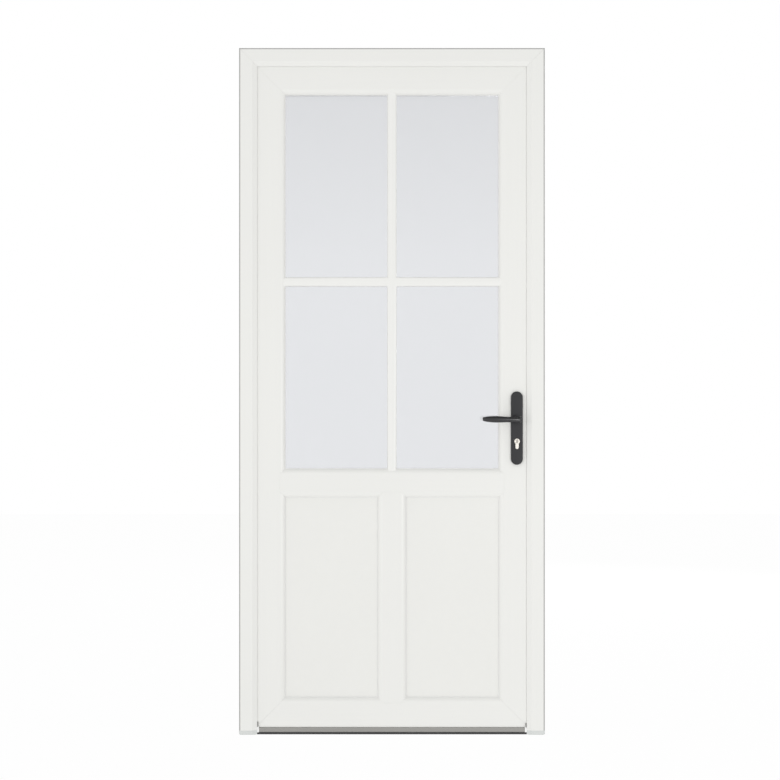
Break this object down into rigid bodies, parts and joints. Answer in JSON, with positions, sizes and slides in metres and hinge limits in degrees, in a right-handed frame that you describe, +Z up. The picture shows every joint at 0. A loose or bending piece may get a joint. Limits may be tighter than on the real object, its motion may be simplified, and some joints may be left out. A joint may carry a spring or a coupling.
{
  "type": "glazed and panelled entrance door",
  "caption": "White single entrance door: frame with a bevelled lip, inward-opening leaf with glazing bars over recessed panels, long-plate lever handle, cylinder lock and low threshold",
  "frame": {"origin": "middle of the threshold's underside, on the finished floor, at mid depth of the outer frame", "axes": "+X to the right seen from outside, +Y indoors, +Z up"},
  "size_m": [0.975, 0.1932, 2.19],
  "materials": {
    "white_pvc": "satin extruded white PVC",
    "white_block": "moulded white plastic",
    "grey_foot": "moulded light grey plastic",
    "sill_aluminium": "grey anodised",
    "black_base": "matte",
    "grey_seal": "matte light grey",
    "grey_brush": "grey pile",
    "clear_glass": "clear",
    "spacer_aluminium": "mill",
    "anthracite_paint": "satin powder coat",
    "lock_steel": "brushed",
    "nickel": "satin nickel plate",
    "hinge_paint": "white powder coat"
  },
  "bodies": {
    "frame": {"left_jamb": "white_pvc", "right_jamb": "white_pvc", "head": "white_pvc", "left_jamb_foot": "grey_foot", "right_jamb_foot": "grey_foot", "threshold": "sill_aluminium", "threshold_base": "black_base", "left_threshold_end": "white_block", "right_threshold_end": "white_block", "frame_seal": "grey_seal", "lock_keepers": "lock_steel", "lower_hinge_frame_half": "hinge_paint", "middle_hinge_frame_half": "hinge_paint", "upper_hinge_frame_half": "hinge_paint"},
    "leaf": {"hinge_stile": "white_pvc", "lock_stile": "white_pvc", "top_rail": "white_pvc", "middle_rail": "white_pvc", "bottom_rail": "white_pvc", "panel_stile": "white_pvc", "left_panel": "white_pvc", "right_panel": "white_pvc", "glass_beads": "white_pvc", "left_panel_beads": "white_pvc", "right_panel_beads": "white_pvc", "outer_glazing_bars": "white_pvc", "inner_glazing_bars": "white_pvc", "leaf_seal": "grey_seal", "outer_gaskets": "grey_seal", "inner_gaskets": "grey_seal", "brush_seal": "grey_brush", "outer_pane": "clear_glass", "inner_pane": "clear_glass", "pane_spacer": "spacer_aluminium", "outer_handle_plate": "anthracite_paint", "inner_handle_plate": "anthracite_paint", "lock_faceplate": "lock_steel", "lock_bolts": "lock_steel", "lock_cylinder": "nickel", "lower_hinge_leaf_half": "hinge_paint", "middle_hinge_leaf_half": "hinge_paint", "upper_hinge_leaf_half": "hinge_paint"},
    "lever": {"outer_lever": "anthracite_paint", "inner_lever": "anthracite_paint", "lever_spindle": "lock_steel"},
    "plug": {"key_plug": "nickel"}
  },
  "joints": [
    {"name": "leaf_hinge", "type": "hinge", "parent": "frame", "child": "leaf", "pos_m": [-0.47, 0.048, 1.08], "axis": [0, 0, 1], "range_deg": [0, 110]},
    {"name": "lever_turn", "type": "hinge", "parent": "leaf", "child": "lever", "pos_m": [0.399, 0.013, 1.006], "axis": [0, -1, 0], "range_deg": [-45, 45], "stiffness_Nm_per_rad": 3, "springref_deg": -4.58},
    {"name": "key_turn", "type": "hinge", "parent": "leaf", "child": "plug", "pos_m": [0.399, -0.019, 0.936], "axis": [0, -1, 0], "continuous": true}
  ]
}
